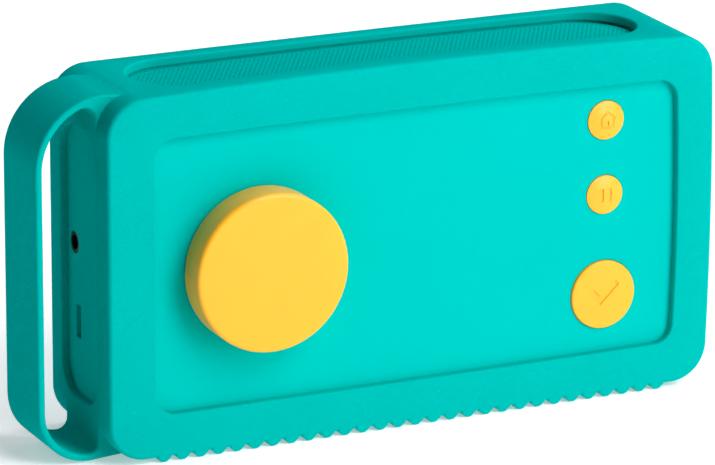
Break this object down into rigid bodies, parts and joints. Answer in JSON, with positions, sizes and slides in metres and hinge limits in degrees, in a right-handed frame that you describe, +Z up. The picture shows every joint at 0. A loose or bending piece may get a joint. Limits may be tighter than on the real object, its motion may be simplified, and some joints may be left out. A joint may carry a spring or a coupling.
{
  "type": "kids audio player",
  "caption": "Children's audio player in a ribbed silicone sleeve with a side carry strap, a large selector dial, push buttons, a top speaker grille and a side knob.",
  "frame": {"origin": "on the surface that the player stands on, at the tips of the foot ribs, under the middle of the silicone sleeve", "axes": "+X along the player towards the volume knob, +Y from the front panel to the back, +Z up"},
  "size_m": [0.1841, 0.0455, 0.0917],
  "materials": {
    "turquoise_silicone": "soft satin moulded silicone",
    "turquoise_plastic": "fine moulded matte",
    "grille_mesh": "finely perforated matte",
    "yellow_plastic": "fine moulded satin",
    "black_plastic": "moulded",
    "white_nylon": "moulded",
    "black_foam": "closed foam",
    "black_rubber": "moulded",
    "black_cloth": "fine woven dust cloth",
    "black_paper": "pressed paper fibre",
    "ferrite": "sintered and ground",
    "bright_steel": "plated",
    "dark_steel": "black zinc",
    "green_board": "solder resist over glass fibre",
    "red_lead": "extruded insulation",
    "amber_film": "polyimide film",
    "battery_foil": "laminated pouch",
    "screen_glass": "polished"
  },
  "bodies": {
    "root": {"silicone_sleeve": "turquoise_silicone", "front_shell": "turquoise_plastic", "rear_cover": "turquoise_plastic", "case_screws": "dark_steel", "speaker_grille": "grille_mesh", "grille_cloth": "black_cloth", "speaker_gasket": "black_foam", "speaker_basket": "bright_steel", "speaker_surround": "black_rubber", "speaker_cone": "black_paper", "speaker_magnet": "ferrite", "speaker_yoke": "bright_steel", "encoder_body": "black_plastic", "encoder_nut": "bright_steel", "encoder_washer": "bright_steel", "volume_control": "bright_steel", "volume_nut": "bright_steel", "volume_washer": "bright_steel", "volume_board": "green_board", "main_board": "green_board", "board_chips": "black_plastic", "board_screws": "dark_steel", "card_socket": "bright_steel", "memory_card": "black_plastic", "speaker_plug": "white_nylon", "battery_plug": "white_nylon", "speaker_leads": "red_lead", "battery_leads": "red_lead", "screen_glass": "screen_glass", "screen_backlight": "white_nylon", "screen_ribbon": "amber_film", "ribbon_socket": "white_nylon", "battery_pack": "battery_foil", "battery_tape": "black_foam", "socket_board": "green_board", "headphone_jack": "black_plastic", "usb_socket": "bright_steel", "usb_tongue": "black_plastic", "home_switch": "bright_steel", "pause_switch": "bright_steel", "confirm_switch": "bright_steel"},
    "dial": {"selector_dial": "yellow_plastic", "encoder_shaft": "bright_steel"},
    "home": {"home_button": "yellow_plastic", "home_plunger": "black_plastic"},
    "pause": {"pause_button": "yellow_plastic", "pause_plunger": "black_plastic"},
    "confirm": {"confirm_button": "yellow_plastic", "confirm_plunger": "black_plastic"},
    "volume": {"volume_knob": "yellow_plastic", "volume_shaft": "bright_steel"}
  },
  "joints": [
    {"name": "dial_turn", "type": "hinge", "parent": "root", "child": "dial", "pos_m": [-0.041, -0.0174, 0.0458], "axis": [0, 1, 0], "continuous": true},
    {"name": "home_press", "type": "slide", "parent": "root", "child": "home", "axis": [0, 1, 0], "range_m": [0, 0.0006], "stiffness_N_per_m": 1500},
    {"name": "pause_press", "type": "slide", "parent": "root", "child": "pause", "axis": [0, 1, 0], "range_m": [0, 0.0006], "stiffness_N_per_m": 1500},
    {"name": "confirm_press", "type": "slide", "parent": "root", "child": "confirm", "axis": [0, 1, 0], "range_m": [0, 0.0006], "stiffness_N_per_m": 1500},
    {"name": "volume_turn", "type": "hinge", "parent": "root", "child": "volume", "pos_m": [0.08, 0, 0.046], "axis": [1, 0, 0], "range_deg": [0, 300]}
  ]
}
